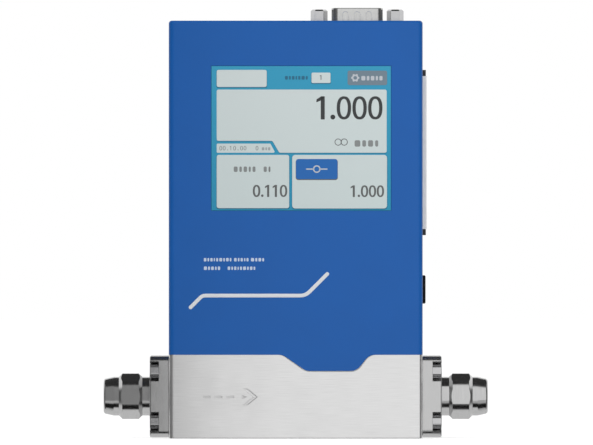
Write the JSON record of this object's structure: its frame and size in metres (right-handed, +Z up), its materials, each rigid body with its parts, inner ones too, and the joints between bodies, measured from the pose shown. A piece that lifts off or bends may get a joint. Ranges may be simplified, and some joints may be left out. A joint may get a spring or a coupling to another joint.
{
  "type": "gas mass flow meter",
  "caption": "Inline gas mass flow meter: steel flow block with a compression fitting at each end, blue sheet cover with a flush screen, and a D-shaped signal connector on top.",
  "frame": {"origin": "centre of the flow block's bottom face", "axes": "+Z up, -Y out of the screen, +X along the gas flow from the inlet to the outlet"},
  "size_m": [0.1264, 0.036, 0.1413],
  "materials": {
    "block_steel": "fine straight brushing",
    "flange_steel": "machined, satin",
    "fitting_steel": "turned, polished",
    "screw_steel": "bright",
    "sintered_steel": "porous",
    "blue_coat": "satin coat",
    "screen_glass": "smooth front glass with a lit screen behind it",
    "screen_panel": "pale field on the screen",
    "screen_key": "blue key on the screen",
    "screen_tab": "grey key on the screen",
    "screen_ink": "dark figures on the screen",
    "silver_line": "thin silver line on the cover",
    "white_ink": "plain white bars on the cover",
    "black_rubber": "matt",
    "black_plastic": "moulded",
    "pale_plastic": "smooth",
    "flex_plastic": "flat flexible lead",
    "board_green": "circuit board",
    "bracket_metal": "bent sheet",
    "panel_metal": "pressed",
    "shell_tin": "tin plated",
    "pin_brass": "gold plated",
    "copper_wire": "wound enamelled wire"
  },
  "bodies": {
    "root": {"board_capacitors": "panel_metal", "board_screws": "screw_steel", "board_spacers": "pin_brass", "bracket_screws": "screw_steel", "chassis_bracket": "bracket_metal", "connector_board": "board_green", "connector_insulator": "black_plastic", "connector_pins": "pin_brass", "connector_shell": "shell_tin", "cover_screws": "screw_steel", "display_board": "board_green", "display_gasket": "black_rubber", "display_header": "black_plastic", "display_screws": "screw_steel", "display_standoffs": "screw_steel", "element_retainer": "fitting_steel", "flow_body": "block_steel", "front_cover": "blue_coat", "inlet_adapter": "flange_steel", "inlet_adapter_screws": "screw_steel", "inlet_adapter_seal": "black_rubber", "inlet_back_ferrule": "fitting_steel", "inlet_fitting": "fitting_steel", "inlet_front_ferrule": "fitting_steel", "inlet_nut": "fitting_steel", "inlet_screen": "sintered_steel", "jackscrew_nuts": "screw_steel", "jackscrews": "screw_steel", "laminar_element": "fitting_steel", "lcd_panel": "panel_metal", "main_board": "board_green", "outlet_adapter": "flange_steel", "outlet_adapter_screws": "screw_steel", "outlet_adapter_seal": "black_rubber", "outlet_back_ferrule": "fitting_steel", "outlet_fitting": "fitting_steel", "outlet_front_ferrule": "fitting_steel", "outlet_nut": "fitting_steel", "processor_chip": "black_plastic", "rear_panel": "blue_coat", "rear_screws": "screw_steel", "sensor_base": "block_steel", "sensor_cover": "bracket_metal", "sensor_flex": "flex_plastic", "sensor_screws": "screw_steel", "sensor_seals": "black_rubber", "sensor_tube": "fitting_steel", "sensor_windings": "copper_wire", "service_plug": "black_rubber", "side_plate": "pale_plastic", "side_plate_clips": "black_plastic", "touch_glass": "screen_glass"}
  },
  "joints": []
}
